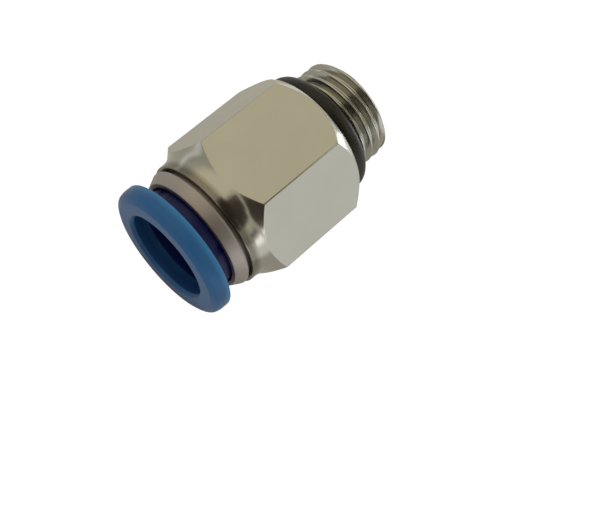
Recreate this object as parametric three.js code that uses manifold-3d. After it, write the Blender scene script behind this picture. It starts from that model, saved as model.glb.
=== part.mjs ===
// A straight push-to-connect air fitting for an 8 mm tube, with a G1/8 parallel male thread.
// Millimetres. The fitting lies on one hexagon flat: +X runs along its axis from the tube's mouth
// to the thread, +Z is up, and the origin is under the middle of its length on the surface it lies on.
// Every x below is measured from a datum plane just in front of the mouth, and is moved to that origin
// at the end.

import * as THREE from "three";
import { mergeVertices } from "three/addons/utils/BufferGeometryUtils.js";
import { ParametricGeometry } from "three/addons/geometries/ParametricGeometry.js";
import Module from "manifold-3d";

const wasm = await Module();
wasm.setup();

// ---- Driving dimensions -------------------------------------------------------------------------

const mouth = 0.3; // the release ring's front face
const length = 22.6; // the end of the thread
const outerSides = 40; // facets round the pieces that show
const innerSides = 36; // facets round the pieces inside the body

const hex = { acrossFlats: 13, cornerFront: 7.45, cornerRear: 15.9, rear: 17.3 };
const collar = { front: 4.75, radius: 6.1, edge: 0.15, fillet: 2 };
const seat = { outerRadius: 6.35, recessRadius: 6.08, recessDepth: 0.15 };
const thread = { majorRadius: 4.864, rootRadius: 4.283, pitch: 0.907, start: 18.9, runOut: 1.5 };
const ridge = { crestStart: 0.34, crestEnd: 0.46, foot: 0.8 }; // shares of a pitch
const stem = { neckRadius: 4.05, neckEnd: 18.7 };

const socket = { radius: 5.62, bottom: 14.0, leadIn: 0.15 };
const snapGroove = { radius: 5.8, front: 7.1, rear: 7.8, slope: 0.1 };
const tubeBore = { radius: 4.1, stop: 16.3, leadInRadius: 4.25, leadInEnd: 14.3 };
const flow = { radius: 3.0, countersink: 0.4 };

const release = { flangeRadius: 6.35, flangeEnd: 1.95, bore: 4.15, sleeveRadius: 4.85 };
const flangeEdge = { lead: 0.25, flatRadius: 5.55, rounding: 0.85, rear: 0.12 };
const bead = { radius: 5.15, front: 5.7, crestStart: 5.75, crestEnd: 5.95, rear: 6.3 };
const nose = { start: 7.0, radius: 4.58, taperStart: 7.85, end: 8.7, endRadius: 4.3 };
const slot = { count: 4, width: 0.9, front: 4.9 };

const guide = { front: 3.3, frontRadius: 5.4, taperEnd: 4.2, flangeEnd: 4.45, flangeRadius: 5.88, end: 8.15 };
const guideSleeve = { radius: 5.55, bore: 4.93, lipEnd: 5.6, counterbore: 5.22 };
const barb = { front: 7.2, crest: 7.6, rear: 7.7, radius: 5.7 };
const edgeBreak = 0.1; // chamfer on the guide ring's front edges

const claw = { front: 8.25, rear: 8.5, innerRadius: 4.78, outerRadius: 5.5, count: 12 };
const finger = { hingeX: 8.62, hingeRadius: 4.9, length: 1.9, thickness: 0.22, rootWidth: 1.7, tipWidth: 1.45 };
const tipHollow = 0.12; // how far a finger's biting edge is hollowed
const fingerSlope = THREE.MathUtils.degToRad(36); // how steeply a finger leans in towards the tube

const spacer = { front: 8.62, webFront: 10.75, rear: 11.6, innerRadius: 5.12, webRadius: 4.15, chamfer: 0.2 };
const seal = { front: 11.7, rear: 13.9, outerRadius: 5.54, throatRadius: 4.45, corner: 0.2, grooveDepth: 0.55 };
const lip = { radius: 3.8, front: 12.6, rear: 13.15, edge: 13.8, edgeRadius: 3.95, backRadius: 4.25 };
const heel = { radius: 4.69, front: 13.2 }; // the foot of the groove behind the seal's lip
const oRing = { centreRadius: 5.03, sectionRadius: 0.92, sectionSides: 14, clearance: 0.05 };

const hexRadius = hex.acrossFlats / 2;
const cornerRadius = hexRadius / Math.cos(Math.PI / 6);

// ---- Solids -------------------------------------------------------------------------------------

// A closed three.js geometry as a manifold solid. Triangles that shrink to a line where vertices
// merge, as at the pointed ends of the thread, are dropped.
function solidOf(geometry) {
  const bare = geometry.clone();
  bare.deleteAttribute("normal");
  bare.deleteAttribute("uv");
  const merged = mergeVertices(bare, 1e-4);
  const corners = merged.index.array;
  const kept = [];
  for (let i = 0; i < corners.length; i += 3) {
    const [a, b, c] = [corners[i], corners[i + 1], corners[i + 2]];
    if (a !== b && b !== c && c !== a) kept.push(a, b, c);
  }
  const vertProperties = merged.attributes.position.array;
  const triVerts = new Uint32Array(kept);
  return new wasm.Manifold(new wasm.Mesh({ numProp: 3, vertProperties, triVerts }));
}

function geometryOf(solid) {
  const mesh = solid.getMesh();
  const geometry = new THREE.BufferGeometry();
  geometry.setAttribute("position", new THREE.BufferAttribute(mesh.vertProperties, 3));
  geometry.setIndex(new THREE.BufferAttribute(mesh.triVerts, 1));
  geometry.computeVertexNormals();
  return geometry;
}

// A ring or plug turned round the fitting's axis, from its half section as [x, radius] points.
// A section that doesn't touch the axis closes on itself.
function turned(section, sides = outerSides) {
  let area = 0;
  section.forEach(([x, r], i) => {
    const [nextX, nextR] = section[(i + 1) % section.length];
    area += x * nextR - nextX * r;
  });
  const ordered = area > 0 ? [...section].reverse() : section;
  const points = ordered.map(([x, r]) => new THREE.Vector2(r, x));
  points.push(points[0].clone());
  return new THREE.LatheGeometry(points, sides).rotateZ(-Math.PI / 2);
}

// A hexagonal bar along the axis, standing on a flat.
function hexBar(acrossFlats, front, rear) {
  const outline = new THREE.Shape();
  const radius = acrossFlats / 2 / Math.cos(Math.PI / 6);
  for (let i = 0; i < 6; i++) {
    const angle = Math.PI / 6 + (i * Math.PI) / 3;
    const [u, v] = [radius * Math.cos(angle), radius * Math.sin(angle)];
    if (i === 0) outline.moveTo(u, v);
    else outline.lineTo(u, v);
  }
  const bar = new THREE.ExtrudeGeometry(outline, { depth: rear - front, bevelEnabled: false });
  return bar.rotateY(Math.PI / 2).translate(front, 0, 0);
}

// The stem with its thread, as one closed surface of rings. The rings of the thread follow the helix:
// each is sheared by one pitch a turn, so crest and root stay sharp. Past the ends of the thread they
// close up on a plain ring of the root radius, and crests lower towards the ends as on a turned chamfer.
function makeStem() {
  const { majorRadius, rootRadius, pitch, start, runOut } = thread;
  const ridgeFeet = [
    [0, rootRadius],
    [ridge.crestStart, majorRadius],
    [ridge.crestEnd, majorRadius],
    [ridge.foot, rootRadius],
  ];
  const plainStart = [
    [tubeBore.stop, 0],
    [tubeBore.stop, stem.neckRadius],
    [stem.neckEnd, stem.neckRadius],
    [start, rootRadius],
  ];
  const rings = plainStart.map(([x, radius]) => ({ x, radius, lead: 0 }));
  const pitches = Math.ceil((length - start) / pitch) + 1;
  for (let i = -1; i < pitches; i++) {
    for (const [share, radius] of ridgeFeet) {
      rings.push({ x: start + (i + share) * pitch, radius, lead: pitch });
    }
  }
  rings.push({ x: length, radius: rootRadius, lead: 0 }, { x: length, radius: 0, lead: 0 });
  const surface = (around, along, target) => {
    const ring = rings[Math.round(along * (rings.length - 1))];
    const x = ring.lead ? THREE.MathUtils.clamp(ring.x + ring.lead * around, start, length) : ring.x;
    const room = Math.min((x - start) / runOut, length - x);
    const radius = ring.lead ? Math.min(ring.radius, rootRadius + Math.max(0, room)) : ring.radius;
    const angle = 2 * Math.PI * around;
    target.set(x, radius * Math.cos(angle), radius * Math.sin(angle));
  };
  return new ParametricGeometry(surface, outerSides, rings.length - 1);
}

// ---- Pieces -------------------------------------------------------------------------------------

// The brass body: a round collar, a hexagon with turned-off corners, and the threaded stem,
// bored right through in steps for the grip parts, the seal, the tube and the air.
function makeBody() {
  const past = 0.2; // how far the turned outline runs past the hexagon's corners
  const coneStart = cornerRadius - collar.radius - collar.fillet * (1 - Math.SQRT1_2);
  const filletStart = hex.cornerFront - coneStart - collar.fillet * Math.SQRT1_2;
  const fillet = [];
  for (let i = 0; i <= 3; i++) {
    const angle = (i * Math.PI) / 12;
    const x = filletStart + collar.fillet * Math.sin(angle);
    fillet.push([x, collar.radius + collar.fillet * (1 - Math.cos(angle))]);
  }
  const rearSlope = (cornerRadius - seat.outerRadius) / (hex.rear - hex.cornerRear);
  const envelope = turned([
    [collar.front, 0],
    [collar.front, collar.radius - collar.edge],
    [collar.front + collar.edge, collar.radius],
    ...fillet,
    [hex.cornerFront + past, cornerRadius + past],
    [hex.cornerRear - past, cornerRadius + past * rearSlope],
    [hex.rear, seat.outerRadius],
    [hex.rear, 0],
  ]);
  const blank = hexBar(hex.acrossFlats, collar.front, hex.rear);
  const recess = turned([
    [hex.rear - seat.recessDepth, 0],
    [hex.rear - seat.recessDepth, seat.recessRadius],
    [hex.rear + 1, seat.recessRadius],
    [hex.rear + 1, 0],
  ]);
  const bore = turned([
    [collar.front - 1, 0],
    [collar.front - 1, socket.radius + socket.leadIn],
    [collar.front, socket.radius + socket.leadIn],
    [collar.front + socket.leadIn, socket.radius],
    [snapGroove.front, socket.radius],
    [snapGroove.front + snapGroove.slope, snapGroove.radius],
    [snapGroove.rear - snapGroove.slope, snapGroove.radius],
    [snapGroove.rear, socket.radius],
    [socket.bottom, socket.radius],
    [socket.bottom, tubeBore.leadInRadius],
    [tubeBore.leadInEnd, tubeBore.radius],
    [tubeBore.stop, tubeBore.radius],
    [tubeBore.stop, flow.radius],
    [length - flow.countersink, flow.radius],
    [length + 1, flow.radius + flow.countersink + 1],
    [length + 1, 0],
  ]);
  const outside = solidOf(blank).intersect(solidOf(envelope));
  return geometryOf(outside.subtract(solidOf(recess)).add(solidOf(makeStem())).subtract(solidOf(bore)));
}

// The rubber ring that seals the thread's port, in the recess behind the hexagon.
function makeThreadSeal() {
  const centre = hex.rear - seat.recessDepth + oRing.sectionRadius + oRing.clearance;
  const section = [];
  for (let i = 0; i < oRing.sectionSides; i++) {
    const angle = (2 * Math.PI * i) / oRing.sectionSides;
    const x = centre + oRing.sectionRadius * Math.cos(angle);
    section.push([x, oRing.centreRadius + oRing.sectionRadius * Math.sin(angle)]);
  }
  return turned(section);
}

// The plated ring pressed into the mouth of the body. Its lip keeps the release ring in.
function makeGuideRing() {
  return turned([
    [guide.front, guideSleeve.bore + edgeBreak],
    [guide.front, guide.frontRadius - edgeBreak],
    [guide.front + edgeBreak, guide.frontRadius],
    [guide.taperEnd, guide.flangeRadius],
    [guide.flangeEnd, guide.flangeRadius],
    [guide.flangeEnd, guideSleeve.radius],
    [barb.front, guideSleeve.radius],
    [barb.crest, barb.radius],
    [barb.rear, guideSleeve.radius],
    [guide.end, guideSleeve.radius],
    [guide.end, guideSleeve.counterbore],
    [guideSleeve.lipEnd, guideSleeve.counterbore],
    [guideSleeve.lipEnd, guideSleeve.bore],
    [guide.front + edgeBreak, guideSleeve.bore],
  ]);
}

// The blue ring that is pressed to let the tube go: a flange with a rounded front, and a slotted
// sleeve with a bead that catches behind the guide ring and a nose that opens the claws.
function makeReleaseRing() {
  const rim = release.flangeRadius - flangeEdge.flatRadius;
  const front = [];
  for (let i = 0; i <= 4; i++) {
    const angle = (i * Math.PI) / 8;
    const x = mouth + flangeEdge.rounding * (1 - Math.cos(angle));
    front.push([x, flangeEdge.flatRadius + rim * Math.sin(angle)]);
  }
  const ring = turned([
    [mouth + flangeEdge.lead, release.bore],
    [mouth, release.bore + flangeEdge.lead],
    ...front,
    [release.flangeEnd - flangeEdge.rear, release.flangeRadius],
    [release.flangeEnd, release.flangeRadius - flangeEdge.rear],
    [release.flangeEnd, release.sleeveRadius],
    [bead.front, release.sleeveRadius],
    [bead.crestStart, bead.radius],
    [bead.crestEnd, bead.radius],
    [bead.rear, release.sleeveRadius],
    [nose.start, nose.radius],
    [nose.taperStart, nose.radius],
    [nose.end, nose.endRadius],
    [nose.end, release.bore],
  ]);
  let slotted = solidOf(ring);
  const depth = nose.end + 1 - slot.front;
  for (let i = 0; i < slot.count; i++) {
    const cut = new THREE.BoxGeometry(depth, slot.width, 3);
    cut.translate(slot.front + depth / 2, 0, release.sleeveRadius);
    cut.rotateX(Math.PI / 4 + (2 * Math.PI * i) / slot.count);
    slotted = slotted.subtract(solidOf(cut));
  }
  return geometryOf(slotted);
}

// The flat rim of the stainless claw, held between the guide ring and the spacer.
function makeClawRing() {
  return turned(
    [
      [claw.front, claw.innerRadius],
      [claw.front, claw.outerRadius],
      [claw.rear, claw.outerRadius],
      [claw.rear, claw.innerRadius],
    ],
    innerSides,
  );
}

// One claw finger, a strip that leans in from the rim and narrows to its biting edge.
// It is made with its root at the origin and its tip along +X, then leaned and set on the rim.
function makeFinger() {
  const plan = new THREE.Shape();
  plan.moveTo(0, -finger.rootWidth / 2);
  plan.lineTo(finger.length, -finger.tipWidth / 2);
  plan.quadraticCurveTo(finger.length - tipHollow, 0, finger.length, finger.tipWidth / 2);
  plan.lineTo(0, finger.rootWidth / 2);
  plan.closePath();
  const options = { depth: finger.thickness, bevelEnabled: false, curveSegments: 4 };
  const strip = new THREE.ExtrudeGeometry(plan, options).translate(0, 0, -finger.thickness / 2);
  return strip.rotateY(fingerSlope).translate(finger.hingeX, 0, finger.hingeRadius);
}

// The plastic ring that backs the claw's rim and keeps the seal square.
function makeSpacer() {
  return turned(
    [
      [spacer.front, spacer.innerRadius],
      [spacer.front, guideSleeve.radius],
      [spacer.rear, guideSleeve.radius],
      [spacer.rear, spacer.webRadius],
      [spacer.webFront + spacer.chamfer, spacer.webRadius],
      [spacer.webFront, spacer.webRadius + spacer.chamfer],
      [spacer.webFront, spacer.innerRadius],
    ],
    innerSides,
  );
}

// The rubber lip seal that closes on the tube.
function makeTubeSeal() {
  return turned(
    [
      [seal.front, seal.throatRadius],
      [seal.front, seal.outerRadius - seal.corner],
      [seal.front + seal.corner, seal.outerRadius],
      [seal.rear - seal.corner, seal.outerRadius],
      [seal.rear, seal.outerRadius - seal.corner],
      [seal.rear, seal.outerRadius - seal.grooveDepth],
      [heel.front, heel.radius],
      [lip.edge, lip.backRadius],
      [lip.edge, lip.edgeRadius],
      [lip.rear, lip.radius],
      [lip.front, lip.radius],
    ],
    innerSides,
  );
}

// ---- Materials ----------------------------------------------------------------------------------

function material(color, roughness, metalness) {
  return () => new THREE.MeshStandardMaterial({ color, roughness, metalness });
}

const nickel = material(0xb9b5a6, 0.28, 1);
const bluePlastic = material(0x3b6796, 0.42, 0);
const stainless = material(0xb4b4b2, 0.3, 1);
const blackRubber = material(0x1c1b19, 0.6, 0);
const palePlastic = material(0xd9d6cc, 0.5, 0);

// ---- Assembly -----------------------------------------------------------------------------------

const fitting = new THREE.Group();
fitting.position.set(-(mouth + length) / 2, 0, hexRadius);

function addPiece(name, geometry, finish, turn = 0) {
  const mesh = new THREE.Mesh(geometry, finish());
  mesh.name = name;
  mesh.rotation.x = turn;
  fitting.add(mesh);
}

addPiece("body", makeBody(), nickel);
addPiece("thread_seal_ring", makeThreadSeal(), blackRubber);
addPiece("guide_ring", makeGuideRing(), nickel);
addPiece("release_ring", makeReleaseRing(), bluePlastic);
addPiece("claw_ring", makeClawRing(), stainless);
for (let i = 0; i < claw.count; i++) {
  const name = "claw_finger_" + String(i + 1).padStart(2, "0");
  addPiece(name, makeFinger(), stainless, (-2 * Math.PI * i) / claw.count);
}
addPiece("spacer_ring", makeSpacer(), palePlastic);
addPiece("tube_seal", makeTubeSeal(), blackRubber);

export default fitting;
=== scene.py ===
"""The looks of a straight push-to-connect air fitting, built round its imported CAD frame."""

import math

import bmesh
import bpy
from mathutils import Matrix, Vector


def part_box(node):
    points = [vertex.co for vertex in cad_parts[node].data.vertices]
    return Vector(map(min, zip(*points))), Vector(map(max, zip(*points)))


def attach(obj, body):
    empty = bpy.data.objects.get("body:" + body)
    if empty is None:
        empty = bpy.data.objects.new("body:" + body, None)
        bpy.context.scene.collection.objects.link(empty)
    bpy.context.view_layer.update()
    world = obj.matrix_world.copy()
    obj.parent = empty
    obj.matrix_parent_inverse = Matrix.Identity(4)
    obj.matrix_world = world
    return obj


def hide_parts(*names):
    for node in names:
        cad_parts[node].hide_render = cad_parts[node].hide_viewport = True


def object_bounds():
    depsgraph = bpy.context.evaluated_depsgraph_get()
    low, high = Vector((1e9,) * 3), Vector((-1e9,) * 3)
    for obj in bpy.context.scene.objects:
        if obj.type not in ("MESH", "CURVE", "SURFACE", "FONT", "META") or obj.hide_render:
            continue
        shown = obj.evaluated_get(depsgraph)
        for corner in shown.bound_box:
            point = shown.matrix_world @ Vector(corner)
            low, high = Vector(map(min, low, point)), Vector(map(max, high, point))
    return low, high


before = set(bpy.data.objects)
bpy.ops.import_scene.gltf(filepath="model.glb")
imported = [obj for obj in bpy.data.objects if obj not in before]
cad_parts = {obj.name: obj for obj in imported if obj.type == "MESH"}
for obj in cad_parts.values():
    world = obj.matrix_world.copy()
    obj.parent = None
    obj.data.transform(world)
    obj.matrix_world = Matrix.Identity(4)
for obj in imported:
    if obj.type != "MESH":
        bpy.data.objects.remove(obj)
cad_low, cad_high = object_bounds()

# ---- Driving dimensions, in millimetres; x is measured from a datum in front of the mouth ------

MM = 0.001
MOUTH = 0.3
body_low, body_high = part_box("body")
datum_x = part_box("release_ring")[0].x - MOUTH * MM
axis_z = (body_low.z + body_high.z) / 2
length = (body_high.x - datum_x) / MM
hex_radius = (body_high.z - body_low.z) / 2 / MM
corner_radius = hex_radius / math.cos(math.pi / 6)

COLLAR_FRONT, COLLAR_RADIUS, COLLAR_FILLET = 4.75, 6.1, 2.0
CORNER_FRONT, CORNER_REAR, HEX_REAR = 7.45, 15.9, 17.3
SEAT_RADIUS, RECESS_RADIUS, RECESS_FLOOR = 6.35, 6.08, 17.15
NECK_RADIUS = 4.05
THREAD_START, THREAD_MAJOR, THREAD_ROOT, THREAD_PITCH = 18.9, 4.864, 4.283, 0.907
SOCKET_RADIUS, SOCKET_BOTTOM = 5.62, 14.0
TUBE_BORE, TUBE_STOP = 4.1, 16.3
FLOW_BORE, COUNTERSINK = 3.0, 0.4
GROOVE_FRONT, GROOVE_REAR, GROOVE_RADIUS = 7.2, 7.7, 5.8
FLANGE_RADIUS, FLANGE_REAR = 6.35, 1.95
RELEASE_BORE, SLEEVE_RADIUS = 4.15, 4.85
NOSE_RADIUS, NOSE_REAR = 4.58, 8.7
GUIDE_FRONT, GUIDE_BORE_END, GUIDE_REAR = 3.3, 5.6, 8.15
GUIDE_RADIUS, GUIDE_HEAD_RADIUS, GUIDE_BORE, GUIDE_INNER = 5.55, 5.88, 4.93, 5.22
SPACER_FRONT, SPACER_WEB, SPACER_REAR = 8.62, 10.75, 11.6
SPACER_RADIUS, SPACER_INNER, SPACER_BORE = 5.55, 5.12, 4.15
SEAL_FRONT, SEAL_REAR, SEAL_RADIUS = 11.7, 13.9, 5.54
RING_X, RING_RADIUS, RING_SECTION = 18.12, 5.03, 0.92
CLAW_FRONT, CLAW_REAR, CLAW_RADIUS, CLAW_INNER = 8.25, 8.5, 5.5, 4.78
HINGE_X, HINGE_RADIUS = 8.62, 4.9
FINGER_LENGTH, FINGER_THICK = 1.9, 0.22
FINGER_ROOT_HALF, FINGER_TIP_HALF = 0.85, 0.72
FINGER_SLOPE = math.radians(36)
HEX_CORNER_ROUND = 0.16
EDGE_ROUND = 0.09
# The rows of points along each flat, as shares of its length, closer together near both ends.
FLAT_ROWS = (0.016, 0.03, 0.06, 0.12, 0.25, 0.4, 0.6, 0.75, 0.88, 0.94, 0.97, 0.984)
ARC_STEPS = 4

# ---- Outlines ----------------------------------------------------------------------------------


def rounded(corners):
    """A closed outline of (x, radius, rounding) corners as points, each rounded corner an arc.

    A corner with no rounding is one point, and any other is ARC_STEPS + 1 points, even where its
    arc has to shrink to fit between its neighbours, so outlines of the same corners match point
    for point.
    """
    points = []
    for i, (x, r, rounding) in enumerate(corners):
        here = Vector((x, r))
        if not rounding:
            points.append(here)
            continue
        before = Vector(corners[i - 1][:2]) - here
        after = Vector(corners[(i + 1) % len(corners)][:2]) - here
        half = before.angle(after) / 2
        reach = min(rounding / math.tan(half), 0.45 * before.length, 0.45 * after.length)
        radius = reach * math.tan(half)
        middle = (before.normalized() + after.normalized()).normalized()
        centre = here + middle * (reach / math.cos(half))
        first = (here + before.normalized() * reach - centre).normalized()
        last = (here + after.normalized() * reach - centre).normalized()
        sweep = first.angle(last)
        for step in range(ARC_STEPS + 1):
            share = step / ARC_STEPS
            a = math.sin((1 - share) * sweep) / math.sin(sweep)
            b = math.sin(share * sweep) / math.sin(sweep)
            points.append(centre + (first * a + last * b) * radius)
    return points


def point_count(corners):
    """How many points rounded() makes of these corners."""
    return sum(ARC_STEPS + 1 if rounding else 1 for x, r, rounding in corners)


def place(x, r, turn):
    """The point at x and radius r, turned from straight up about the fitting's axis."""
    return (datum_x + x * MM, -r * MM * math.sin(turn), axis_z + r * MM * math.cos(turn))


# ---- Meshes ------------------------------------------------------------------------------------

WELD, SHORTEST_EDGE = 1e-7, 1e-8  # metres


def finish_mesh(name, mesh_data, material, body, nodes):
    """Welds a bmesh, faces it outwards and makes it a piece that stands for CAD nodes."""
    bmesh.ops.remove_doubles(mesh_data, verts=mesh_data.verts, dist=WELD)
    bmesh.ops.dissolve_degenerate(mesh_data, edges=mesh_data.edges, dist=SHORTEST_EDGE)
    # At the thread's start this leaves a sliver of a hole, with a few edges.
    slivers = [edge for edge in mesh_data.edges if edge.is_boundary]
    bmesh.ops.holes_fill(mesh_data, edges=slivers, sides=6)
    unused = [vert for vert in mesh_data.verts if not vert.link_faces]
    bmesh.ops.delete(mesh_data, geom=unused, context="VERTS")
    bmesh.ops.recalc_face_normals(mesh_data, faces=mesh_data.faces)
    mesh = bpy.data.meshes.new(name)
    mesh_data.to_mesh(mesh)
    mesh_data.free()
    mesh.polygons.foreach_set("use_smooth", [True] * len(mesh.polygons))
    piece = bpy.data.objects.new(name, mesh)
    bpy.context.scene.collection.objects.link(piece)
    piece.data.materials.append(material)
    weighted = piece.modifiers.new("even_normals", "WEIGHTED_NORMAL")
    weighted.keep_sharp = True
    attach(piece, body)
    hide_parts(*nodes)


def skin(columns):
    """A bmesh whose columns of points, each a closed outline, are joined to the next one round."""
    mesh_data = bmesh.new()
    made = [[mesh_data.verts.new(point) for point in column] for column in columns]
    for left, right in zip(made, made[1:]):
        for i in range(len(left)):
            j = (i + 1) % len(left)
            mesh_data.faces.new((left[i], left[j], right[j], right[i]))
    return mesh_data


def turned(corners, sides=160):
    """A bmesh ring turned from one outline."""
    outline = rounded(corners)
    turns = [2 * math.pi * i / sides for i in range(sides)] + [0.0]
    return skin([[place(p.x, p.y, turn) for p in outline] for turn in turns])


# ---- Materials ---------------------------------------------------------------------------------

NOISE_LOW, NOISE_HIGH = 0.3, 0.7
# The dark brown of the painted shade in the metal's hollows.
HOLLOW_SHADE = (0.035, 0.026, 0.016)


def set_stops(ramp, stops):
    """Gives a colour ramp its (position, colour) stops."""
    elements = ramp.color_ramp.elements
    while len(elements) < len(stops):
        elements.new(0.5)
    for element, (position, colour) in zip(elements, stops):
        element.position = position
        element.color = (*colour, 1.0)


class Shader:
    """A Principled material with short ways to add the nodes that vary it.

    Places and distances are in metres, so a noise scale is in waves to the metre.
    """

    def __init__(self, name, **constants):
        self.material = bpy.data.materials.new(name)
        self.material.use_nodes = True
        self.nodes = self.material.node_tree.nodes
        self.links = self.material.node_tree.links
        self.bsdf = self.nodes["Principled BSDF"]
        for socket, value in constants.items():
            self.bsdf.inputs[socket.replace("_", " ")].default_value = value
        self.where = self.nodes.new("ShaderNodeTexCoord").outputs["Object"]

    def scaled(self, scale):
        """Object coordinates stretched by scale, for lines or a grain with a direction."""
        mapping = self.nodes.new("ShaderNodeMapping")
        mapping.inputs["Scale"].default_value = scale
        self.links.new(self.where, mapping.inputs["Vector"])
        return mapping.outputs["Vector"]

    def noise(self, scale, detail=2.0, roughness=0.5, where=None):
        """A noise that mostly runs from NOISE_LOW to NOISE_HIGH."""
        node = self.nodes.new("ShaderNodeTexNoise")
        node.inputs["Scale"].default_value = scale
        node.inputs["Detail"].default_value = detail
        node.inputs["Roughness"].default_value = roughness
        self.links.new(where or self.where, node.inputs["Vector"])
        return node.outputs["Fac"]

    def between(self, fac, low, high):
        """A noise's usual range, taken to low and high."""
        node = self.nodes.new("ShaderNodeMapRange")
        node.inputs["From Min"].default_value = NOISE_LOW
        node.inputs["From Max"].default_value = NOISE_HIGH
        node.inputs["To Min"].default_value = low
        node.inputs["To Max"].default_value = high
        self.links.new(fac, node.inputs["Value"])
        return node.outputs["Result"]

    def colours(self, fac, low, high):
        """Base colours from low to high over a noise's usual range."""
        ramp = self.nodes.new("ShaderNodeValToRGB")
        set_stops(ramp, [(NOISE_LOW, low), (NOISE_HIGH, high)])
        self.links.new(fac, ramp.inputs["Fac"])
        self.links.new(ramp.outputs["Color"], self.bsdf.inputs["Base Color"])

    def recolour(self, fac, start, end, colour):
        """Takes the base colour to another one as fac goes from start to end."""
        share = self.nodes.new("ShaderNodeMapRange")
        share.inputs["From Min"].default_value = start
        share.inputs["From Max"].default_value = end
        self.links.new(fac, share.inputs["Value"])
        mix = self.nodes.new("ShaderNodeMixRGB")
        mix.inputs["Color2"].default_value = (*colour, 1.0)
        before = self.bsdf.inputs["Base Color"].links[0].from_socket
        self.links.new(share.outputs["Result"], mix.inputs["Fac"])
        self.links.new(before, mix.inputs["Color1"])
        self.links.new(mix.outputs["Color"], self.bsdf.inputs["Base Color"])

    def paint_shade_in_hollows(self, reach, dark, closed, open_share):
        """Paints shade: takes the base colour to a dark one where surfaces within reach close it
        in.

        It starts where open_share of the surroundings is open and ends where only closed is.
        """
        occlusion = self.nodes.new("ShaderNodeAmbientOcclusion")
        occlusion.samples = 8
        occlusion.inputs["Distance"].default_value = reach
        self.recolour(occlusion.outputs["AO"], open_share, closed, dark)

    def bands(self, bands):
        """Takes the base colour to other ones along the axis, as (x start, x end, colour)."""
        for start, end, colour in bands:
            place_on = self.nodes.new("ShaderNodeSeparateXYZ")
            self.links.new(self.where, place_on.inputs["Vector"])
            self.recolour(place_on.outputs["X"], datum_x + start * MM, datum_x + end * MM, colour)

    def sum(self, *terms):
        """The weighted sum of (output, weight) terms."""
        total = None
        for output, weight in terms:
            scaled = self.nodes.new("ShaderNodeMath")
            scaled.operation = "MULTIPLY_ADD"
            self.links.new(output, scaled.inputs[0])
            scaled.inputs[1].default_value = weight
            scaled.inputs[2].default_value = 0.0
            if total is not None:
                self.links.new(total, scaled.inputs[2])
            total = scaled.outputs[0]
        return total

    def bump(self, height, distance, strength):
        node = self.nodes.new("ShaderNodeBump")
        node.inputs["Strength"].default_value = strength
        node.inputs["Distance"].default_value = distance
        self.links.new(height, node.inputs["Height"])
        self.links.new(node.outputs["Normal"], self.bsdf.inputs["Normal"])

    def roughness(self, fac, low, high):
        self.links.new(self.between(fac, low, high), self.bsdf.inputs["Roughness"])


def nickel(name, light, dark, low, high, bands=()):
    """Nickel plate over machined brass: drawn lines along the bar, turned lines round the axis."""
    shader = Shader(name, Metallic=1.0)
    cloud = shader.noise(320, 3.0, 0.6)
    shader.colours(cloud, dark, light)
    drawn = shader.noise(1.0, 2.0, 0.6, shader.scaled((160, 9000, 9000)))
    turned_lines = shader.noise(1.0, 2.0, 0.7, shader.scaled((14000, 120, 120)))
    peel = shader.noise(2600)
    shader.roughness(shader.sum((cloud, 0.5), (drawn, 0.5)), low, high)
    height = shader.sum((drawn, 0.4), (turned_lines, 0.5), (peel, 0.8))
    shader.bump(height, 0.000004, 0.35)
    shader.bands(bands)
    # Painted shade: the base colour goes dark brown in grooves, thread roots and other hollows.
    shader.paint_shade_in_hollows(0.0004, HOLLOW_SHADE, 0.1, 0.6)
    return shader.material


def rubber(name, colour, sheen):
    """Moulded rubber with a fine grain and a faint sheen."""
    shader = Shader(
        name, Specular_IOR_Level=0.3, Coat_Weight=sheen, Coat_Roughness=0.2, Coat_IOR=1.3
    )
    grain = shader.noise(9000, 3.0, 0.6)
    shader.colours(shader.noise(700), colour, tuple(1.5 * c for c in colour))
    shader.roughness(grain, 0.38, 0.55)
    shader.bump(grain, 0.000006, 0.4)
    return shader.material


def acetal(name, light, dark, hollow_shade_colour, low, high, bands=()):
    """Moulded plastic: fine spark-eroded grain, faint flow marks and painted shade in hollows."""
    shader = Shader(name, Specular_IOR_Level=0.25, IOR=1.45)
    flow = shader.noise(180, where=shader.scaled((3, 1, 1)))
    grain = shader.noise(7000)
    shader.colours(flow, dark, light)
    shader.roughness(shader.sum((flow, 0.5), (grain, 0.5)), low, high)
    shader.bump(grain, 0.000005, 0.3)
    shader.bands(bands)
    # Painted shade: the base colour darkens where the plastic is closed in, as in the bore and
    # gaps.
    shader.paint_shade_in_hollows(0.008, hollow_shade_colour, 0.56, 0.9)
    return shader.material


def stainless(name):
    """Rolled strip, with lines along the fitting's axis."""
    shader = Shader(name, Metallic=1.0)
    rolled = shader.noise(1.0, 2.0, 0.6, shader.scaled((600, 7000, 7000)))
    shader.colours(rolled, (0.42, 0.42, 0.41), (0.56, 0.56, 0.55))
    shader.roughness(rolled, 0.22, 0.36)
    shader.bump(rolled, 0.000001, 0.15)
    return shader.material


# The collar darkens towards its front edge.
nickel_plate = nickel(
    "nickel_plate",
    light=(0.388, 0.391, 0.361),
    dark=(0.368, 0.371, 0.342),
    low=0.16,
    high=0.24,
    bands=[(5.7, 5.2, (0.19, 0.178, 0.155))],
)
nickel_ring = nickel(
    "nickel_ring", light=(0.375, 0.35, 0.352), dark=(0.315, 0.295, 0.298), low=0.46, high=0.58
)
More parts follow.
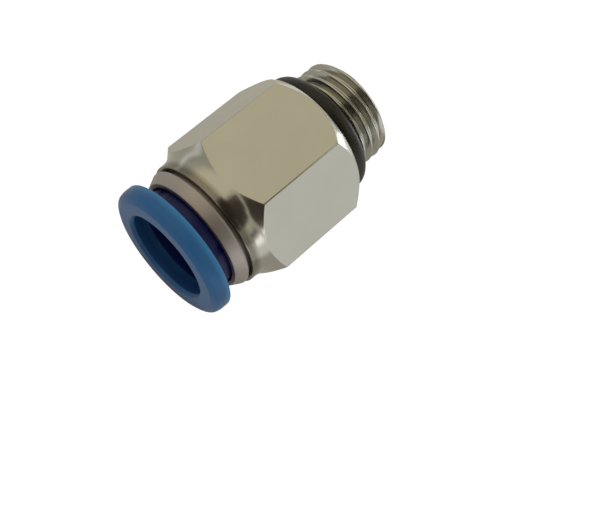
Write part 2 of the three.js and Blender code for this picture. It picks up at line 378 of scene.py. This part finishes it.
# The flange gets lighter towards its rear edge, a painted highlight, and all of the ring behind
# the flange is a darker blue, painted shade.
blue_plastic = acetal(
    "blue_plastic",
    light=(0.012, 0.082, 0.235),
    dark=(0.009, 0.066, 0.195),
    hollow_shade_colour=(0.001, 0.0015, 0.045),
    low=0.3,
    high=0.45,
    bands=[
        (1.3, 1.8, (0.025, 0.135, 0.34)),
        (FLANGE_REAR - 0.02, FLANGE_REAR + 0.01, (0.006, 0.018, 0.11)),
    ],
)
pale_plastic = acetal(
    "pale_plastic",
    light=(0.66, 0.64, 0.58),
    dark=(0.58, 0.56, 0.50),
    hollow_shade_colour=(0.10, 0.09, 0.07),
    low=0.35,
    high=0.5,
)
black_rubber = rubber("black_rubber", (0.005, 0.0045, 0.003), 0.05)
seal_rubber = rubber("seal_rubber", (0.014, 0.014, 0.014), 0.1)
steel = stainless("stainless")

# ---- The body ----------------------------------------------------------------------------------


def hex_outline(turn):
    """The hexagon's radius, with its six corners rounded, at an angle from straight up."""
    from_flat = (turn + math.pi / 6) % (math.pi / 3) - math.pi / 6
    core = (hex_radius - HEX_CORNER_ROUND) / math.cos(math.pi / 6)
    flat_end = math.atan2((hex_radius - HEX_CORNER_ROUND) * math.tan(math.pi / 6), hex_radius)
    if abs(from_flat) <= flat_end:
        return hex_radius / math.cos(from_flat)
    off = math.pi / 6 - abs(from_flat)
    return core * math.cos(off) + math.sqrt(HEX_CORNER_ROUND**2 - (core * math.sin(off)) ** 2)


def body_turns(flat_steps=28, corner_steps=6):
    """Angles round the body, close together at the hexagon's corners."""
    flat_end = math.atan2((hex_radius - HEX_CORNER_ROUND) * math.tan(math.pi / 6), hex_radius)
    turns = []
    for side in range(6):
        middle = side * math.pi / 3
        for i in range(flat_steps):
            turns.append(middle - flat_end * math.cos(math.pi * i / flat_steps))
        for i in range(corner_steps):
            turns.append(middle + flat_end + 2 * (math.pi / 6 - flat_end) * i / corner_steps)
    start = turns[0]
    return [turn - start for turn in turns] + [2 * math.pi], start


def thread_rows():
    """One pitch of the thread as (share of a pitch, radius), with its crest and root rounded."""
    half_depth = 0.4802 * THREAD_PITCH
    middle = (THREAD_MAJOR + THREAD_ROOT) / 2
    root, crest = middle - half_depth, middle + half_depth
    rounding = 0.1373 * THREAD_PITCH
    zigzag = [(k * THREAD_PITCH / 2, crest if k % 2 else root, rounding) for k in range(5)]
    crest_from = ARC_STEPS + 1
    points = rounded(zigzag)[crest_from : crest_from + 2 * (ARC_STEPS + 1)]
    return [(p.x / THREAD_PITCH, p.y) for p in points]


def collar_curve(radius, steps=14):
    """The fillet from the collar to the hexagon's front cone, and that cone, out to a radius."""
    fillet_run = COLLAR_FILLET * math.sqrt(0.5)
    fillet_rise = COLLAR_FILLET * (1 - math.sqrt(0.5))
    fillet_start = CORNER_FRONT - (corner_radius - COLLAR_RADIUS - fillet_rise) - fillet_run
    rise = radius - COLLAR_RADIUS
    if rise < fillet_rise:
        last = fillet_start + math.sqrt(COLLAR_FILLET**2 - (COLLAR_FILLET - rise) ** 2)
    else:
        last = fillet_start + fillet_run + rise - fillet_rise
    points = []
    for step in range(steps + 1):
        x = fillet_start + (last - fillet_start) * step / steps
        inside = min(x - fillet_start, fillet_run)
        r = COLLAR_RADIUS + COLLAR_FILLET - math.sqrt(COLLAR_FILLET**2 - inside**2)
        points.append((x, r + max(0.0, x - fillet_start - fillet_run)))
    return points


def body_column(turn, lead):
    """The body's closed outline at one angle: outside from front to rear, then back inside.

    lead is the share of a turn, and so of a pitch, that the thread has gone.
    """
    flat = hex_outline(turn)
    rear_slope = (HEX_REAR - CORNER_REAR) / (corner_radius - SEAT_RADIUS)
    curve = collar_curve(flat)
    flat_front = curve[-1][0]
    flat_rear = HEX_REAR - rear_slope * (flat - SEAT_RADIUS)
    rows = [flat_front + (flat_rear - flat_front) * share for share in FLAT_ROWS]
    front = [
        (COLLAR_FRONT, COLLAR_RADIUS, 0.1),
        *[(x, r, 0) for x, r in curve[:-1]],
        (flat_front, flat, EDGE_ROUND),
        *[(x, flat, 0) for x in rows],
        (flat_rear, flat, EDGE_ROUND),
        (HEX_REAR, SEAT_RADIUS, EDGE_ROUND),
        (HEX_REAR, RECESS_RADIUS, 0.05),
        (RECESS_FLOOR, RECESS_RADIUS, 0.08),
        (RECESS_FLOOR, NECK_RADIUS, 0.08),
        (THREAD_START - 0.2, NECK_RADIUS, 0.05),
        (THREAD_START, THREAD_ROOT, 0),
    ]
    rear = [
        (length, THREAD_ROOT, 0),
        (length, FLOW_BORE + COUNTERSINK, 0.06),
        (length - COUNTERSINK, FLOW_BORE, 0.1),
        (TUBE_STOP, FLOW_BORE, 0.08),
        (TUBE_STOP, TUBE_BORE, 0.08),
        (SOCKET_BOTTOM + 0.3, TUBE_BORE, 0.1),
        (SOCKET_BOTTOM, TUBE_BORE + 0.15, 0.05),
        (SOCKET_BOTTOM, SOCKET_RADIUS, 0.08),
        (GROOVE_REAR + 0.1, SOCKET_RADIUS, 0),
        (GROOVE_REAR, GROOVE_RADIUS, 0),
        (GROOVE_FRONT, GROOVE_RADIUS, 0),
        (GROOVE_FRONT - 0.1, SOCKET_RADIUS, 0),
        (COLLAR_FRONT + 0.15, SOCKET_RADIUS, 0.03),
        (COLLAR_FRONT, SOCKET_RADIUS + 0.15, 0.03),
    ]
    outline = [(p.x, p.y) for p in rounded(front + rear)]
    split = point_count(front)
    pitches = math.ceil((length - THREAD_START) / THREAD_PITCH) + 1
    helix = []
    for k in range(-1, pitches):
        for share, radius in thread_rows():
            x = THREAD_START + THREAD_PITCH * (k + share + lead)
            x = min(max(x, THREAD_START), length)
            # The thread rises from its root at both ends.
            room = min((x - THREAD_START) / 1.2, (length - x) * 1.4)
            helix.append((x, min(radius, THREAD_ROOT + room)))
    return [place(x, r, turn) for x, r in outline[:split] + helix + outline[split:]]


def make_body():
    turns, start = body_turns()
    columns = [body_column(start + t, t / (2 * math.pi)) for t in turns]
    mesh_data = skin(columns)
    finish_mesh("body_plated", mesh_data, nickel_plate, "fitting_body", ["body"])


make_body()

# ---- The rings ---------------------------------------------------------------------------------

INNER_SIDES = 128


def make_thread_seal(sides=40):
    outline = []
    for i in range(sides):
        angle = 2 * math.pi * i / sides
        x = RING_X + RING_SECTION * math.cos(angle)
        outline.append((x, RING_RADIUS + RING_SECTION * math.sin(angle), 0))
    finish_mesh(
        "thread_seal_rubber",
        turned(outline),
        black_rubber,
        "fitting_body",
        ["thread_seal_ring"],
    )


def make_guide_ring():
    """The ring in the body's mouth, with a head in front and a barb in the body's groove."""
    outline = [
        (GUIDE_FRONT, GUIDE_BORE + 0.1, 0.04),
        (GUIDE_FRONT, 5.4, 0.12),
        (4.2, GUIDE_HEAD_RADIUS, 0.12),
        (4.45, GUIDE_HEAD_RADIUS, 0.08),
        (4.45, GUIDE_RADIUS, 0.04),
        (GROOVE_FRONT, GUIDE_RADIUS, 0),
        (7.6, 5.7, 0.02),
        (GROOVE_REAR, GUIDE_RADIUS, 0),
        (GUIDE_REAR, GUIDE_RADIUS, 0.05),
        (GUIDE_REAR, GUIDE_INNER, 0.03),
        (GUIDE_BORE_END, GUIDE_INNER, 0.05),
        (GUIDE_BORE_END, GUIDE_BORE, 0.04),
        (GUIDE_FRONT + 0.1, GUIDE_BORE, 0.04),
    ]
    finish_mesh(
        "guide_ring_plated",
        turned(outline),
        nickel_ring,
        "fitting_body",
        ["guide_ring"],
    )


def make_release_ring(sides=192, slots=4, slot_front=4.9, slot_width=0.9):
    """The blue ring: a flange with a rounded front, on a sleeve slit into four tongues."""
    bead_radius = 5.15
    outer = [
        (MOUTH, FLANGE_RADIUS - 0.72, 0.5),
        (MOUTH + 0.3, FLANGE_RADIUS - 0.12, 0.5),
        (MOUTH + 0.85, FLANGE_RADIUS, 0.6),
        (FLANGE_REAR, FLANGE_RADIUS, 0.14),
        (FLANGE_REAR, SLEEVE_RADIUS, 0.12),
    ]
    tongue = [
        (5.7, SLEEVE_RADIUS, 0.03),
        (5.75, bead_radius, 0.05),
        (5.95, bead_radius, 0.08),
        (6.3, SLEEVE_RADIUS, 0.1),
        (7.0, NOSE_RADIUS, 0.2),
        (7.85, NOSE_RADIUS, 0.1),
        (NOSE_REAR, 4.3, 0.05),
        (NOSE_REAR, RELEASE_BORE, 0.03),
    ]
    inner = [
        (MOUTH + 0.3, RELEASE_BORE, 0.2),
        (MOUTH, RELEASE_BORE + 0.22, 0.15),
    ]
    slot_top, slot_bottom = (slot_front, SLEEVE_RADIUS, 0), (slot_front, RELEASE_BORE, 0)
    outline = rounded(outer + [slot_top] + tongue + [slot_bottom] + inner)
    slot_from = point_count(outer)
    slot_to = slot_from + 1 + point_count(tongue)
    first_slot, between_slots = math.pi / 4, 2 * math.pi / slots
    half = slot_width / 2 / SLEEVE_RADIUS
    turns = [2 * math.pi * i / sides for i in range(sides)]
    for k in range(slots):
        turns += [first_slot + 2 * math.pi * k / slots + side * half for side in (-1, 1)]
    turns.sort()

    def in_slot(turn):
        nearest = (turn - first_slot) % between_slots
        return min(nearest, between_slots - nearest) < half - 1e-9

    # Between a slot's sides the tongue's faces are left out. One face closes the slot's front, and
    # the outline of the tongue closes each side.
    mesh_data = bmesh.new()
    columns = [[mesh_data.verts.new(place(p.x, p.y, turn)) for p in outline] for turn in turns]
    walls = []
    count = len(outline)
    for c, turn in enumerate(turns):
        left, right = columns[c], columns[(c + 1) % len(turns)]
        ahead = turns[(c + 1) % len(turns)] + (2 * math.pi if c + 1 == len(turns) else 0)
        open_here = in_slot((turn + ahead) / 2)
        for i in range(count):
            j = (i + 1) % count
            if not (open_here and slot_from <= i < slot_to):
                mesh_data.faces.new((left[i], left[j], right[j], right[i]))
        if open_here:
            mesh_data.faces.new((left[slot_from], left[slot_to], right[slot_to], right[slot_from]))
        before = in_slot((turns[c - 1] - (2 * math.pi if c == 0 else 0) + turn) / 2)
        if before != open_here:
            walls.append(left[slot_from : slot_to + 1])
    for wall in walls:
        mesh_data.faces.new(wall)
    finish_mesh(
        "release_ring_blue", mesh_data, blue_plastic, "release", ["release_ring"]
    )


def make_spacer():
    outline = [
        (SPACER_FRONT, SPACER_INNER, 0.05),
        (SPACER_FRONT, SPACER_RADIUS, 0.05),
        (SPACER_REAR, SPACER_RADIUS, 0.1),
        (SPACER_REAR, SPACER_BORE, 0.1),
        (SPACER_WEB + 0.2, SPACER_BORE, 0.05),
        (SPACER_WEB, SPACER_BORE + 0.2, 0.05),
        (SPACER_WEB, SPACER_INNER, 0.05),
    ]
    finish_mesh(
        "spacer_ring_pale",
        turned(outline, INNER_SIDES),
        pale_plastic,
        "fitting_body",
        ["spacer_ring"],
    )


def make_tube_seal():
    """A ring with a lip inside it that leans back, and a groove between them at the rear."""
    outline = [
        (SEAL_FRONT, 4.45, 0.1),
        (SEAL_FRONT, SEAL_RADIUS - 0.2, 0.1),
        (SEAL_FRONT + 0.2, SEAL_RADIUS, 0.15),
        (SEAL_REAR - 0.2, SEAL_RADIUS, 0.15),
        (SEAL_REAR, SEAL_RADIUS - 0.2, 0.1),
        (SEAL_REAR, 4.99, 0.1),
        (13.2, 4.69, 0.15),
        (13.75, 4.25, 0.08),
        (13.8, 3.95, 0.08),
        (13.15, 3.8, 0.2),
        (12.6, 3.85, 0.2),
    ]
    finish_mesh(
        "tube_seal_rubber",
        turned(outline, INNER_SIDES),
        seal_rubber,
        "fitting_body",
        ["tube_seal"],
    )


make_thread_seal()
make_guide_ring()
make_release_ring()
make_spacer()
make_tube_seal()

# ---- The claw ----------------------------------------------------------------------------------

CLAW_COUNT = sum(name.startswith("claw_finger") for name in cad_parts)


def make_claw_rim(edge=0.04):
    outline = [
        (CLAW_FRONT, CLAW_INNER, edge),
        (CLAW_FRONT, CLAW_RADIUS, edge),
        (CLAW_REAR, CLAW_RADIUS, edge),
        (CLAW_REAR, CLAW_INNER, edge),
    ]
    rim = turned(outline, INNER_SIDES)
    finish_mesh("claw_rim_steel", rim, steel, "claw_cage", ["claw_ring"])


def finger_point(side, share, across):
    """A point (x, distance across, radius) of the finger's upper (1) or lower (-1) side.

    share goes from the root to the tip and across from -1 to 1. The finger is dished across to
    follow the claw's cone, its biting edge is hollowed and the upper side is ground at the tip.
    """
    tip_drop, tip_hollow, ground, ground_from = 1.1, 0.12, 0.14, 0.85
    width = FINGER_ROOT_HALF + (FINGER_TIP_HALF - FINGER_ROOT_HALF) * share
    distance = width * across
    dish = distance**2 / 2 / (HINGE_RADIUS - tip_drop * share)
    along = FINGER_LENGTH * share - tip_hollow * (1 - across**2) * share**4
    height = side * FINGER_THICK / 2 - dish
    if side > 0:
        height -= ground * max(0.0, (share - ground_from) / (1 - ground_from))
    x = HINGE_X + along * math.cos(FINGER_SLOPE) + height * math.sin(FINGER_SLOPE)
    r = HINGE_RADIUS - along * math.sin(FINGER_SLOPE) + height * math.cos(FINGER_SLOPE)
    return x, distance, r


def rim_of(rows):
    """The points round the edge of a grid."""
    left, right = [row[0] for row in rows], [row[-1] for row in rows]
    return rows[0] + right[1:] + rows[-1][-2::-1] + left[-2:0:-1]


def make_finger(number, along_steps=12, across_steps=10):
    """One stamped finger, numbered anticlockwise from the top, seen from the mouth."""
    spin = Matrix.Rotation(-2 * math.pi * (number - 1) / CLAW_COUNT, 4, "X")
    mesh_data = bmesh.new()
    sides = []
    for side in (1, -1):
        rows = []
        for i in range(along_steps + 1):
            row = []
            for j in range(across_steps + 1):
                x, across, r = finger_point(side, i / along_steps, 2 * j / across_steps - 1)
                turned_place = spin @ Vector((0.0, across * MM, r * MM))
                point = (datum_x + x * MM, turned_place.y, axis_z + turned_place.z)
                row.append(mesh_data.verts.new(point))
            rows.append(row)
        sides.append(rows)
    for rows in sides:
        for lower, upper in zip(rows, rows[1:]):
            for j in range(across_steps):
                mesh_data.faces.new((lower[j], lower[j + 1], upper[j + 1], upper[j]))
    top, bottom = (rim_of(rows) for rows in sides)
    for i in range(len(top)):
        j = (i + 1) % len(top)
        mesh_data.faces.new((top[i], top[j], bottom[j], bottom[i]))
    finish_mesh(
        f"claw_tooth_{number:02d}",
        mesh_data,
        steel,
        f"finger_{number:02d}",
        [f"claw_finger_{number:02d}"],
    )


make_claw_rim()
for finger_number in range(1, CLAW_COUNT + 1):
    make_finger(finger_number)

# ---- Floor, lights and camera ------------------------------------------------------------------

middle = Vector(((cad_low.x + cad_high.x) / 2, 0.0, axis_z))


def sheet_at(name, centre, towards, width, height):
    """A flat rectangle that faces a point."""
    mesh = bpy.data.meshes.new(name)
    w, h = width / 2, height / 2
    mesh.from_pydata([(-w, -h, 0), (w, -h, 0), (w, h, 0), (-w, h, 0)], [], [(0, 1, 2, 3)])
    card = bpy.data.objects.new(name, mesh)
    card.location = centre
    card.rotation_euler = (Vector(towards) - Vector(centre)).to_track_quat("Z", "Y").to_euler()
    bpy.context.scene.collection.objects.link(card)
    return card


def make_floor():
    floor = sheet_at("floor", (middle.x, 0, -0.0002), (middle.x, 0, 1), 1.6, 1.6)
    shader = Shader("floor_white", Roughness=0.9, Specular_IOR_Level=0.2)
    shader.colours(shader.noise(6), (0.30, 0.30, 0.30), (0.32, 0.32, 0.32))
    shader.bsdf.inputs["Emission Color"].default_value = (1, 1, 1, 1)
    shader.bsdf.inputs["Emission Strength"].default_value = 0.80
    floor.data.materials.append(shader.material)


def make_card(name, centre, towards, size, colour, strength=0.0):
    """A reflector card, seen only in reflections. Its centre is measured from middle."""
    at = middle + Vector(centre)
    card = sheet_at(name, at, middle if towards is None else at + Vector(towards), *size)
    shader = Shader(name, Roughness=0.8, Base_Color=(*colour, 1))
    shader.bsdf.inputs["Emission Color"].default_value = (*colour, 1)
    shader.bsdf.inputs["Emission Strength"].default_value = strength
    card.data.materials.append(shader.material)
    card.visible_camera = False
    card.visible_diffuse = False
    card.visible_shadow = False
    return card


def make_light(name, direction, distance, size, power, colour):
    """A soft round lamp, which doesn't show in reflections."""
    data = bpy.data.lights.new(name, "AREA")
    data.shape = "DISK"
    data.size = size
    data.energy = power
    data.color = colour
    lamp = bpy.data.objects.new(name, data)
    lamp.location = middle + Vector(direction).normalized() * distance
    lamp.rotation_euler = (middle - lamp.location).to_track_quat("-Z", "Y").to_euler()
    lamp.visible_glossy = False
    bpy.context.scene.collection.objects.link(lamp)


def make_world():
    """A soft studio: a warm lit ceiling over a dim band of room just above the floor."""
    world = bpy.data.worlds.new("studio")
    world.use_nodes = True
    nodes, links = world.node_tree.nodes, world.node_tree.links
    where = nodes.new("ShaderNodeTexCoord").outputs["Generated"]
    height = nodes.new("ShaderNodeSeparateXYZ")
    links.new(where, height.inputs["Vector"])
    ramp = nodes.new("ShaderNodeValToRGB")
    sky = [
        (0.0, (0.95, 0.95, 0.95)),
        (0.02, (0.46, 0.43, 0.37)),
        (0.15, (0.60, 0.56, 0.47)),
        (0.34, (0.64, 0.59, 0.475)),
        (0.62, (1.03, 0.925, 0.69)),
        (0.80, (1.02, 0.91, 0.665)),
    ]
    set_stops(ramp, sky)
    links.new(height.outputs["Z"], ramp.inputs["Fac"])
    # What the camera sees directly is a plain backdrop.
    seen = nodes.new("ShaderNodeMix")
    seen.data_type = "RGBA"
    colours = [socket for socket in seen.inputs if socket.type == "RGBA"]
    links.new(ramp.outputs["Color"], colours[0])
    colours[1].default_value = (0.95, 0.95, 0.95, 1)
    links.new(nodes.new("ShaderNodeLightPath").outputs["Is Camera Ray"], seen.inputs["Factor"])
    mixed = [socket for socket in seen.outputs if socket.type == "RGBA"][0]
    links.new(mixed, nodes["Background"].inputs["Color"])
    bpy.context.scene.world = world


CAMERA = {
    "azimuth": -62.35,
    "elevation": 66.6,
    "roll": 19.24,
    "distance": 0.09867,
    "aim_off_centre": (-0.001925, -0.007305, -0.002148),
    "lens": 68.08,
}


def make_camera():
    """The camera looks from an azimuth and elevation, rolled about its own line of sight."""
    data = bpy.data.cameras.new("camera")
    data.lens = CAMERA["lens"]
    data.sensor_width = 36.0
    data.clip_start = 0.005
    data.clip_end = 5.0
    camera = bpy.data.objects.new("camera", data)
    a, e = math.radians(CAMERA["azimuth"]), math.radians(CAMERA["elevation"])
    back = Vector((math.sin(a) * math.cos(e), -math.cos(a) * math.cos(e), math.sin(e)))
    aim = middle + Vector(CAMERA["aim_off_centre"])
    level = (-back).to_track_quat("-Z", "Y")
    roll = Matrix.Rotation(math.radians(CAMERA["roll"]), 3, back).to_quaternion()
    camera.rotation_mode = "QUATERNION"
    camera.rotation_quaternion = roll @ level
    camera.location = aim + back * CAMERA["distance"]
    bpy.context.scene.collection.objects.link(camera)
    bpy.context.scene.camera = camera


make_floor()
make_world()
make_camera()
make_light("key", (-0.1, -0.75, 0.65), 0.30, 0.22, 0.10, (1.0, 0.99, 0.97))
make_light("fill", (-0.7, 0.45, 0.55), 0.32, 0.22, 0.08, (1.0, 1.0, 1.0))
make_light("rear", (0.85, 0.25, 0.40), 0.30, 0.15, 0.06, (1.0, 0.99, 0.96))

DARK, GREY, WHITE = (0.035, 0.02, 0.014), (0.42, 0.42, 0.41), (1.0, 1.0, 1.0)
UP, DOWN = (0, 0, 1), (0, 0, -1)
floor_z = -axis_z - 0.0001
# Dark and bright cards for the metal to reflect, and a patch of floor dimmer than the rest, which
# is a painted shadow round the fitting.
make_card("dark_card_above", (-0.025, -0.027, 0.055), DOWN, (0.100, 0.040), DARK)
make_card("dark_card_front", (-0.044, -0.020, 0.009), None, (0.034, 0.034), DARK)
make_card("dark_card_rear", (0.050, 0.008, 0.013), None, (0.030, 0.020), DARK)
make_card("bright_card_front", (-0.040, -0.033, -0.002), None, (0.016, 0.009), WHITE, 1.7)
make_card("bright_card_rear", (0.042, -0.010, floor_z + 0.0004), UP, (0.018, 0.012), WHITE, 5.0)
make_card("bright_card_side", (0.036, -0.034, 0.033), None, (0.011, 0.0035), WHITE, 7.0)
make_card("bright_card_low", (-0.017, -0.0455, 0.001), None, (0.024, 0.010), WHITE, 1.25)
make_card("dark_card_side", (-0.012, -0.045, 0.050), None, (0.064, 0.030), DARK)
make_card("dark_card_low", (-0.014, -0.045, 0.0135), None, (0.026, 0.005), DARK)
make_card("dark_card_top", (0.014, -0.006, 0.055), DOWN, (0.030, 0.013), DARK)
shade = make_card("shade_card_under", (-0.027, 0.028, floor_z), UP, (0.096, 0.094), GREY, 0.45)
shade.visible_diffuse = True

bpy.context.scene.view_settings.view_transform = "Standard"
bpy.context.scene.view_settings.look = "None"
